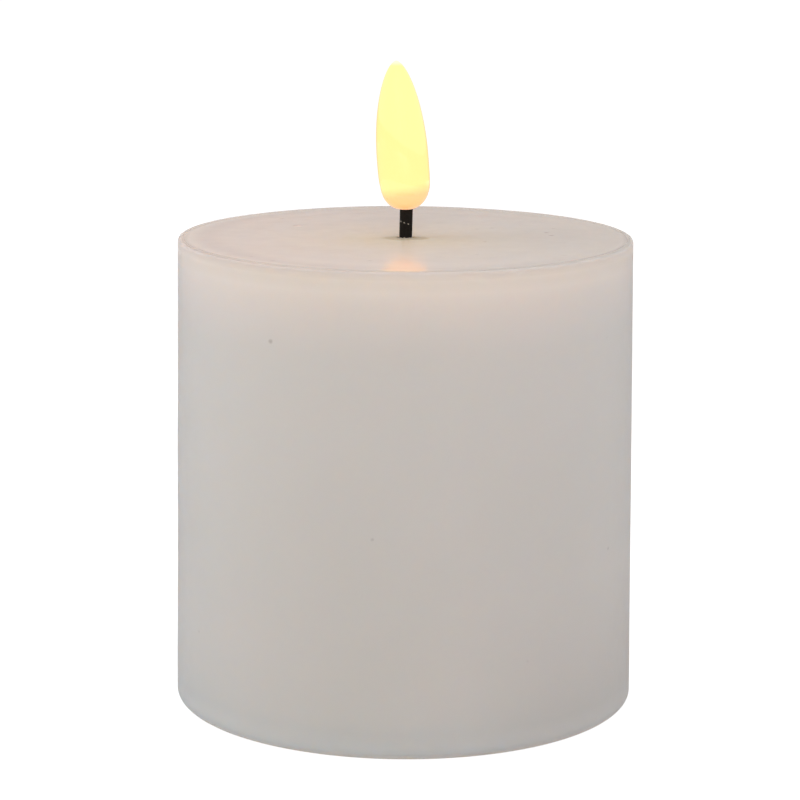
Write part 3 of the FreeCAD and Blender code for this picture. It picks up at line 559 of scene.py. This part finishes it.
def wax_top_light_and_shade(m, tone, x, y, on_top):
    """Painted light and shade on the top: a painted warm glow from the flame in its middle, a painted shade
    ring near its rim, painted shade round the wick, painted light on its left and painted shade on its right.
    """
    # Painted warm glow from the flame in the middle.
    middle = m.reach(x, m.math("ADD", y, FLAME_GLOW_OFFSET))
    uneven = m.math("ADD", middle, m.math("MULTIPLY", m.noise(70.0, 3.0), 10 * MM))
    tone = m.tint(tone, FLAME_GLOW_TINT, m.math("SUBTRACT", 1.0, m.rise(uneven, FLAME_GLOW_SPAN)), on_top)

    # Painted shade ring near the rim.
    ring = m.reach(m.math("SUBTRACT", x, SHADED_RING_OFFSET), y)
    off_ring = m.math("ABSOLUTE", m.math("SUBTRACT", ring, SHADED_RING_RADIUS))
    tone = m.tint(tone, SHADED_RING_TINT, m.fall(off_ring, SHADED_RING_SPAN), on_top)

    # Painted shade round the wick: a halo, then a darker core.
    halo = m.reach(x, m.math("MULTIPLY", m.math("ADD", y, HALO_OFFSET), HALO_FLATTENING))
    tone = m.tint(tone, HALO_SHADE_TINT, m.fall(halo, HALO_SPAN), on_top)

    ragged = m.math("MULTIPLY", m.noise(500.0, 3.0), 2.0 * MM)
    wick_shade = m.reach(x, m.math("MULTIPLY", m.math("ADD", y, WICK_SHADE_OFFSET), WICK_SHADE_FLATTENING))
    tone = m.tint(tone, WICK_SHADE_TINT, m.fall(m.math("ADD", wick_shade, ragged), WICK_SHADE_SPAN), on_top)

    # Painted light on the left, painted shade on the right and far left.
    tone = m.tint(tone, TOP_LEFT_LIGHT_TINT, m.fall(x, TOP_LEFT_SPAN), on_top)
    tone = m.tint(tone, TOP_RIGHT_SHADE_TINT, m.rise(x, TOP_RIGHT_SPAN), on_top)
    return m.tint(tone, TOP_FAR_LEFT_SHADE_TINT, m.fall(x, TOP_FAR_LEFT_SPAN), on_top)


def wax_side_light_and_shade(m, tone, x, z, radius, on_top):
    """Painted light and shade on the side and its edges: painted shade under the rim, on the rim edge and low
    on the right, and painted light on the shoulder and at the foot.
    """
    on_side = m.math("SUBTRACT", 1.0, on_top)
    # Painted shade just under the rim.
    tone = m.tint(tone, HIGH_SIDE_SHADE_TINT, m.rise(z, HIGH_SIDE_SPAN), on_side)

    # Painted shade on the rim edge.
    on_edge = m.math("MULTIPLY", m.rise(radius, EDGE_RADIUS_SPAN), m.rise(z, EDGE_HEIGHT_SPAN))
    edge_shade = m.mix(m.rise(x, EDGE_LEFT_TO_RIGHT), rgb(*EDGE_LEFT_SHADE_TINT), rgb(*EDGE_RIGHT_SHADE_TINT))
    tone = m.blend(on_edge, tone, edge_shade, "MULTIPLY")

    # Painted light on the shoulder and at the foot, and painted shade low on the right.
    tone = m.tint(tone, SHOULDER_LIGHT_TINT, m.rise(z, SHOULDER_RISE), m.fall(z, SHOULDER_FADE))
    tone = m.tint(tone, FOOT_LIGHT_TINT, m.math("POWER", m.fall(z, FOOT_SPAN), FOOT_POWER))
    return m.tint(tone, LOW_RIGHT_SHADE_TINT, m.rise(x, LOW_RIGHT_ACROSS), m.fall(z, LOW_RIGHT_UP))


def wax_specks_and_glint(m, tone, drop_away):
    """Ragged dark specks, and a painted glint on the drop."""
    place = m.warped(600.0, 0.5 * MM)
    for spot, size, strength in WAX_SPECKS:
        away = m.distance(place, spot)
        tone = m.tint(tone, SPECK_TINT, m.band(away, 0.35 * size, size, strength, 0.0))
    # A painted glint on the drop.
    return m.tint(tone, DROP_GLINT_TINT, m.fall(drop_away, DROP_GLINT_SPAN))


def wax_gloss(m, z, radius, on_top):
    """Roughness: hazy sides, a smoother top that is duller round the wick, and a dull edge."""
    haze = m.band(m.noise(260.0, 5.0, 0.65), 0.3, 0.75)
    edge = m.math("MULTIPLY", m.rise(radius, DULL_EDGE_RADIUS_SPAN), m.rise(z, DULL_EDGE_HEIGHT_SPAN))
    side_gloss = m.band(haze, 0.0, 1.0, *SIDE_ROUGHNESS)
    top_gloss = m.math("ADD", m.band(haze, 0.0, 1.0, *TOP_ROUGHNESS),
                       m.band(radius, *WICK_AREA_SPAN, WICK_AREA_ROUGHNESS, 0.0))
    return m.blend_values(edge, m.blend_values(on_top, side_gloss, top_gloss), EDGE_ROUGHNESS)


def wax_relief(m, radius, on_top, drop_away):
    """Bump: a crowned top, soft unevenness, grain, rubbed scratches and the drop."""
    crown = m.bump(m.fall(radius, CROWN_SPAN), 1.0, CROWN_DEPTH)
    soft = m.bump(m.noise(110.0, 2.0), 0.25, SOFT_DEPTH, crown)
    grain = m.bump(m.noise(420.0, 3.0, 0.6), 0.12, GRAIN_DEPTH, soft)
    scratches = m.band(m.noise(240.0, 6.0, 0.7, m.stretched(1.0, 2.6, 1.0)), 0.60, 0.72)
    rubbed = m.math("MULTIPLY", m.math("MULTIPLY", scratches, on_top), m.band(m.noise(45.0, 1.0), 0.5, 0.6))
    worn = m.bump(rubbed, 0.08, SCRATCH_DEPTH, grain)
    drop = m.math("POWER", m.fall(drop_away, (0.0, DROP_RADIUS)), DROP_POWER)
    return m.bump(drop, 1.0, DROP_HEIGHT, worn)


def wax_material():
    """Cast paraffin: light spreads inside, the top is smoother than the side, and painted light and shade lie
    on it, with painted shade round the wick.
    """
    m = Material("wax", IOR=1.44, Subsurface_Weight=1.0, Subsurface_Scale=0.020,
                 Subsurface_Radius=(1.0, 0.80, 0.62), Emission_Strength=1.0)
    x, y, z = m.axes()
    radius = m.reach(x, y)
    on_top = m.rise(z, TOP_SPAN)
    drop_away = m.distance(m.place, WAX_DROP)
    tone = m.mix(m.band(m.noise(30.0, 4.0, 0.55), 0.3, 0.7), rgb(*WAX_DARK), rgb(*WAX_LIGHT))
    tone = wax_top_light_and_shade(m, tone, x, y, on_top)
    tone = wax_side_light_and_shade(m, tone, x, z, radius, on_top)
    m.drive("Base Color", wax_specks_and_glint(m, tone, drop_away))
    bounce = m.math("POWER", m.fall(z, BOUNCE_SPAN), BOUNCE_POWER)
    m.drive("Emission Color", m.mix(bounce, rgb(0.0, 0.0, 0.0), rgb(*BOUNCE_LIGHT)))
    m.drive("Roughness", wax_gloss(m, z, radius, on_top))
    m.drive("Normal", wax_relief(m, radius, on_top, drop_away))
    return m.material


def flame_material():
    """A lens lit from inside: warm yellow, peach towards its foot, under a clear skin."""
    m = Material("flame", Roughness=0.35, IOR=1.49, Emission_Strength=1.0, Coat_Weight=1.0, Coat_IOR=2.0,
                 Coat_Roughness=0.05)
    x, _, z = m.axes()
    along = m.math("ADD", z, m.math("MULTIPLY", x, FLAME_SLANT))
    along = m.math("ADD", along, m.math("MULTIPLY", m.noise(900.0, 2.0), FLAME_RAGGED))
    foot = m.mix(m.rise(along, FLAME_FOOT_SPAN), rgb(*FLAME_FOOT_DARK), rgb(*FLAME_FOOT_LIGHT))
    lit = m.mix(m.rise(along, FLAME_BODY_SPAN), foot, rgb(*FLAME_BODY_LIGHT))
    m.drive("Emission Color", m.mix(m.rise(z, FLAME_TIP_SPAN), lit, rgb(*FLAME_TIP_LIGHT)))
    m.shader.inputs["Base Color"].default_value = rgb(0.12, 0.08, 0.03)
    return m.material


def wick_material():
    """Black woven cord with pale stray fibres and one broken pale line of dashes round it."""
    m = Material("wick", Roughness=0.8, IOR=1.35)
    x, y, z = m.axes()
    turn = m.math("ARCTAN2", x, m.math("MULTIPLY", y, -1.0))
    dash_line_height = m.math("ADD", m.math("MULTIPLY", turn, DASH_LINE_CLIMB), DASH_LINE_HEIGHT)
    off = m.math("ABSOLUTE", m.math("SUBTRACT", z, dash_line_height))
    on_dash_line = m.fall(off, DASH_LINE_WIDTH_SPAN)
    wave = m.math("SINE", m.math("ADD", m.math("MULTIPLY", turn, DASH_RATE), DASH_PHASE))
    dashes = m.math("MULTIPLY", m.band(wave, 0.35, 0.75), m.fall(turn, DASH_LINE_END_SPAN))
    fibres = m.band(m.noise(5200.0, 2.0), 0.62, 0.72)
    base = m.mix(m.math("MULTIPLY", fibres, 0.22), rgb(0.005, 0.0042, 0.0036), rgb(0.07, 0.058, 0.045))
    m.drive("Base Color", m.mix(m.math("MULTIPLY", on_dash_line, dashes), base, rgb(0.55, 0.50, 0.42)))
    m.drive("Normal", m.bump(m.noise(4000.0, 3.0), 0.5, 0.06 * MM))
    return m.material


def surface(name, dark, light, rough, cloud, grain, depth, edge=0.12 * MM, **settings):
    """A material with slightly clouded colour, uneven gloss, fine grain and edges that catch the light."""
    m = Material(name, **settings)
    m.tone = m.mix(m.band(m.noise(cloud, 4.0, 0.6), 0.3, 0.7), rgb(*dark), rgb(*light))
    m.drive("Base Color", m.tone)
    m.gloss = m.band(m.noise(cloud * 7, 4.0, 0.6), 0.3, 0.7, *rough)
    m.drive("Roughness", m.gloss)
    rounded = m.node("ShaderNodeBevel", {"Radius": edge}, samples=4).outputs["Normal"]
    m.normal = m.bump(m.noise(grain, 3.0), 0.35, depth, rounded)
    m.drive("Normal", m.normal)
    return m


def cell_material(name):
    """A steel cell in a grey printed sleeve, with a green band and a plus sign at its nub end."""
    green_length = 17.0 * MM
    ring_place = 18.0 * MM
    ring_half = 0.5 * MM
    plus_place = 8.5 * MM
    plus_half_width = 0.45 * MM
    plus_arm = 2.4 * MM
    sleeve_end = 1.18 * MM
    print_white = rgb(0.75, 0.76, 0.76)

    low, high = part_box(name)
    side = 1.0 if low.x + high.x > 0 else -1.0
    radius = (high.z - low.z) / 2
    tip = max(high.x, -low.x)
    m = surface(name, (0.36, 0.38, 0.40), (0.40, 0.42, 0.44), (0.2, 0.3), 60.0, 2500.0, 0.01 * MM,
                Coat_Weight=0.4, Coat_Roughness=0.12)
    x, y, z = m.axes()
    along = m.math("MULTIPLY", x, side)
    across = m.math("SUBTRACT", y, (low.y + high.y) / 2)
    under = m.math("SUBTRACT", (low.z + high.z) / 2, z)
    from_axis = m.reach(across, under)

    green = m.mix(m.band(m.noise(300.0), 0.3, 0.7), rgb(0.02, 0.16, 0.09), rgb(0.03, 0.20, 0.11))
    in_green = m.band(along, tip - green_length - 0.05 * MM, tip - green_length)
    sleeve = m.mix(in_green, m.tone, green)
    off_ring = m.math("ABSOLUTE", m.math("SUBTRACT", along, tip - ring_place))
    sleeve = m.mix(m.fall(off_ring, (ring_half - 0.05 * MM, ring_half)), sleeve, print_white)

    arc = m.math("ABSOLUTE", m.math("MULTIPLY", m.math("ARCTAN2", across, under), radius))
    run = m.math("ABSOLUTE", m.math("SUBTRACT", along, tip - plus_place))
    for thin, long in ((arc, run), (run, arc)):
        on_bar = m.math("MULTIPLY", m.math("LESS_THAN", thin, plus_half_width),
                        m.math("LESS_THAN", long, plus_arm))
        sleeve = m.mix(on_bar, sleeve, print_white)
    printed = m.math("MULTIPLY", m.math("GREATER_THAN", from_axis, radius - 1.0 * MM),
                     m.math("LESS_THAN", along, tip - sleeve_end))
    m.drive("Base Color", m.mix(printed, rgb(0.66, 0.65, 0.62), sleeve))
    m.drive("Metallic", m.math("SUBTRACT", 1.0, printed))
    return m.material


def board_material():
    """Green solder mask over copper tracks, with a bare pale edge."""
    rim = 0.05 * MM
    m = surface("board", (0.010, 0.085, 0.035), (0.014, 0.105, 0.045), (0.22, 0.34), 90.0, 3000.0,
                0.008 * MM, Coat_Weight=0.3, Coat_Roughness=0.15)
    low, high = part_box("main_board")
    _, _, z = m.axes()
    grid = m.node("ShaderNodeTexBrick", {"Vector": m.place, "Scale": 260.0, "Mortar Size": 0.03},
                  offset=0.37)
    tracks = m.mix(grid.outputs["Fac"], m.tone, rgb(0.03, 0.19, 0.07))
    edge = m.math("MULTIPLY", m.math("GREATER_THAN", z, low.z + rim), m.math("LESS_THAN", z, high.z - rim))
    m.drive("Base Color", m.mix(edge, tracks, rgb(0.45, 0.42, 0.22)))
    m.drive("Normal", m.bump(grid.outputs["Fac"], 0.5, 0.03 * MM, m.normal))
    return m.material


def chip_material(name, foot_height):
    """Black moulded epoxy with tinned metal near the board."""
    m = surface(name, (0.014, 0.014, 0.015), (0.024, 0.024, 0.026), (0.5, 0.68), 500.0, 5000.0, 0.02 * MM)
    _, _, z = m.axes()
    metal = m.math("LESS_THAN", z, foot_height)
    m.drive("Base Color", m.mix(metal, m.tone, rgb(0.66, 0.66, 0.64)))
    m.drive("Metallic", metal)
    return m.material


def capacitor_material():
    """A dark sleeve with a pale stripe down one side, and a bare scored top."""
    stripe_start = 2.05 * MM
    bare_radius = 1.9 * MM
    low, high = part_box("smoothing_capacitor")
    m = surface("capacitor_sleeve", (0.012, 0.014, 0.030), (0.018, 0.022, 0.045), (0.22, 0.32), 300.0, 2500.0,
                0.01 * MM)
    x, y, z = m.axes()
    off_x = m.math("SUBTRACT", x, (low.x + high.x) / 2)
    off_y = m.math("SUBTRACT", y, (low.y + high.y) / 2)
    stripe = m.math("GREATER_THAN", off_x, stripe_start)
    sleeve = m.mix(stripe, m.tone, rgb(0.48, 0.50, 0.52))
    top = m.math("MULTIPLY", m.math("GREATER_THAN", z, high.z - 0.03 * MM),
                 m.math("LESS_THAN", m.reach(off_x, off_y), bare_radius))
    m.drive("Base Color", m.mix(top, sleeve, rgb(0.72, 0.72, 0.72)))
    m.drive("Metallic", top)
    nearest = m.math("MINIMUM", m.math("ABSOLUTE", off_x), m.math("ABSOLUTE", off_y))
    score = m.math("MULTIPLY", m.band(nearest, 0.0, 0.12 * MM), top)
    m.drive("Normal", m.bump(score, 0.6, 0.1 * MM, m.normal))
    return m.material


def inductor_material():
    """Dark ferrite flanges with enamelled copper wire wound between them."""
    flange = 0.92 * MM
    wire_pitch = 0.3 * MM
    low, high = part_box("boost_inductor")
    m = surface("ferrite", (0.035, 0.033, 0.032), (0.055, 0.052, 0.050), (0.5, 0.65), 400.0, 4000.0,
                0.02 * MM)
    _, _, z = m.axes()
    wound = m.math("MULTIPLY", m.math("GREATER_THAN", z, low.z + flange),
                   m.math("LESS_THAN", z, high.z - flange))
    turns = m.math("SINE", m.math("MULTIPLY", z, 2 * math.pi / wire_pitch))
    copper = m.mix(m.band(turns, -1.0, 1.0), rgb(0.28, 0.07, 0.025), rgb(0.55, 0.20, 0.08))
    m.drive("Base Color", m.mix(wound, m.tone, copper))
    m.drive("Metallic", m.math("MULTIPLY", wound, 0.7))
    m.drive("Normal", m.bump(m.math("MULTIPLY", turns, wound), 0.8, 0.06 * MM, m.normal))
    return m.material


def moulded_material(name, dark, light, rough):
    """Moulded plastic with a spark-eroded grain, faint flow clouds and a few light scuffs."""
    m = surface(name, dark, light, rough, 28.0, 2600.0, 0.03 * MM, edge=0.2 * MM)
    scuffs = m.band(m.noise(90.0, 5.0, 0.5, m.stretched(1.0, 14.0, 14.0)), 0.66, 0.74)
    m.drive("Roughness", m.math("ADD", m.gloss, m.math("MULTIPLY", scuffs, -0.12)))
    scuffed = rgb(*(0.8 * part for part in dark))
    m.drive("Base Color", m.mix(m.math("MULTIPLY", scuffs, 0.25), m.tone, scuffed))
    return m.material


def paint(material, *names):
    """Gives CAD nodes a material in place of their own."""
    for name in names:
        for place in NODES[name].material_slots:
            place.material = material


def paint_simple():
    """The CAD nodes whose material is one kind of stuff all over."""
    metal = {"Metallic": 1.0}
    paint(surface("zinc_steel", (0.50, 0.53, 0.57), (0.68, 0.69, 0.70), (0.26, 0.42), 350.0, 3500.0,
                  0.01 * MM, **metal).material, "base_screws", "switch_frame", "main_board_screws")
    paint(surface("nickel_steel", (0.60, 0.58, 0.53), (0.74, 0.71, 0.66), (0.16, 0.30), 250.0, 3500.0,
                  0.008 * MM, **metal).material, "negative_contact", "positive_contact", "bridge_contact",
          "negative_spring", "bridge_spring", "led_leads")
    paint(surface("crystal_can", (0.70, 0.70, 0.71), (0.80, 0.80, 0.81), (0.14, 0.28), 500.0, 3500.0,
                  0.006 * MM, **metal).material, "timing_crystal")
    paint(surface("knob_plastic", (0.018, 0.018, 0.019), (0.032, 0.032, 0.034), (0.36, 0.50), 200.0, 3200.0,
                  0.025 * MM).material, "switch_knob", "switch_actuator")
    paint(surface("bush_rubber", (0.030, 0.030, 0.030), (0.055, 0.054, 0.052), (0.70, 0.85), 250.0, 3000.0,
                  0.03 * MM).material, "wick_bush")
    paint(surface("hot_glue", (0.78, 0.72, 0.55), (0.86, 0.81, 0.66), (0.12, 0.26), 180.0, 500.0, 0.10 * MM,
                  IOR=1.48, Transmission_Weight=0.35).material, "glue_beads")
    paint(surface("red_insulation", (0.48, 0.016, 0.010), (0.56, 0.028, 0.018), (0.28, 0.40), 200.0, 1500.0,
                  0.01 * MM).material, "red_wire")
    paint(surface("black_insulation", (0.012, 0.012, 0.012), (0.024, 0.024, 0.025), (0.30, 0.42), 200.0,
                  1500.0, 0.01 * MM).material, "black_wire", "lead_sleeves")
    paint(surface("white_insulation", (0.68, 0.67, 0.62), (0.77, 0.76, 0.72), (0.30, 0.42), 200.0, 1500.0,
                  0.01 * MM).material, "led_wires")
    paint(surface("led_epoxy", (0.90, 0.78, 0.48), (0.95, 0.85, 0.58), (0.08, 0.16), 300.0, 900.0, 0.01 * MM,
                  IOR=1.53, Transmission_Weight=0.6).material, "flame_led")


def paint_frame():
    """Every CAD node that stays in view or inside the candle."""
    paint_simple()
    paint(moulded_material("can_plastic", (0.68, 0.66, 0.62), (0.76, 0.74, 0.70), (0.42, 0.54)), "inner_can")
    paint(moulded_material("base_plastic", (0.66, 0.63, 0.57), (0.73, 0.70, 0.64), (0.40, 0.52)),
          "base_plate", "battery_door", "door_latch")
    for name in ("battery_1", "battery_2"):
        paint(cell_material(name), name)
    board_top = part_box("main_board")[1].z
    paint(board_material(), "main_board")
    paint(chip_material("chip_plastic", board_top + 0.36 * MM), "controller_chip")
    paint(chip_material("board_parts", board_top + 0.12 * MM), "board_parts")
    paint(capacitor_material(), "smoothing_capacitor")
    paint(inductor_material(), "boost_inductor")


# ---- Stage, light and camera ----

def floor_piece():
    """The pale floor, seen from above only."""
    half = FLOOR_SIZE / 2
    corners = [(-half, -half, 0), (half, -half, 0), (half, half, 0), (-half, half, 0)]
    floor = mesh_object("floor", corners, [(0, 1, 2, 3)])
    m = Material("floor", Roughness=0.9)
    m.shader.inputs["Base Color"].default_value = rgb(*FLOOR_TONE)
    output = m.tree.nodes["Material Output"]
    seen = m.node("ShaderNodeEmission", {"Color": rgb(1, 1, 1), "Strength": FLOOR_SEEN_LIGHT})
    both = m.node("ShaderNodeAddShader", {0: m.shader.outputs[0], 1: seen.outputs[0]})
    path = m.node("ShaderNodeLightPath")
    lit = m.node("ShaderNodeMixShader", {0: path.outputs["Is Camera Ray"], 1: m.shader.outputs[0],
                                         2: both.outputs[0]})
    clear = m.node("ShaderNodeBsdfTransparent")
    side = m.node("ShaderNodeNewGeometry")
    shown = m.node("ShaderNodeMixShader", {0: side.outputs["Backfacing"], 1: lit.outputs[0],
                                           2: clear.outputs[0]})
    m.tree.links.new(shown.outputs[0], output.inputs["Surface"])
    floor.data.materials.append(m.material)


def world_light():
    """Even studio light from all round, and a white background."""
    world = bpy.data.worlds.new("studio")
    bpy.context.scene.world = world
    world.use_nodes = True
    nodes = world.node_tree.nodes
    links = world.node_tree.links
    light = nodes["Background"]
    light.inputs["Color"].default_value = WORLD_LIGHT + (1.0,)
    seen = nodes.new("ShaderNodeBackground")
    seen.inputs["Color"].default_value = WORLD_SEEN + (1.0,)
    path = nodes.new("ShaderNodeLightPath")
    mix = nodes.new("ShaderNodeMixShader")
    links.new(path.outputs["Is Camera Ray"], mix.inputs[0])
    links.new(light.outputs[0], mix.inputs[1])
    links.new(seen.outputs[0], mix.inputs[2])
    links.new(mix.outputs[0], nodes["World Output"].inputs["Surface"])


def area_light(name, place, target, size, watts, colour):
    """A square soft box that points at the target, and doesn't show in reflections."""
    data = bpy.data.lights.new(name, "AREA")
    data.size = size
    data.energy = watts
    data.color = colour
    lamp = bpy.data.objects.new(name, data)
    lamp.location = place
    lamp.rotation_euler = (Vector(target) - Vector(place)).to_track_quat("-Z", "Y").to_euler()
    lamp.visible_glossy = False
    bpy.context.scene.collection.objects.link(lamp)


def camera():
    """A long lens, a little above the candle."""
    data = bpy.data.cameras.new("camera")
    data.lens = CAMERA_LENS
    data.sensor_width = SENSOR_WIDTH
    data.clip_start = 0.01
    data.clip_end = 50.0
    cam = bpy.data.objects.new("camera", data)
    turn = Matrix.Rotation(CAMERA_TURN, 4, "Z")
    tilt = Matrix.Rotation(math.pi / 2 - CAMERA_TILT, 4, "X")
    roll = Matrix.Rotation(CAMERA_ROLL, 4, "Z")
    cam.matrix_world = Matrix.Translation(CAMERA_PLACE) @ turn @ tilt @ roll
    bpy.context.scene.collection.objects.link(cam)
    bpy.context.scene.camera = cam


def dress(piece, body, slot, material, *nodes):
    """Puts a piece on its body in place of CAD nodes, with its material. The slot is not used."""
    piece.data.materials.append(material)
    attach(piece, body)
    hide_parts(*nodes)


bpy.context.scene.view_settings.view_transform = "Standard"
camera()
floor_piece()
world_light()
for lamp in LAMPS:
    area_light(*lamp)

dress(wax_piece(), "candle", "wax", wax_material(), "wax_pillar")
dress(flame_piece(), "candle", "flame", flame_material(), "flame_lens")
dress(wick_piece(), "candle", "wick", wick_material(), "wick_sleeve")
paint_frame()
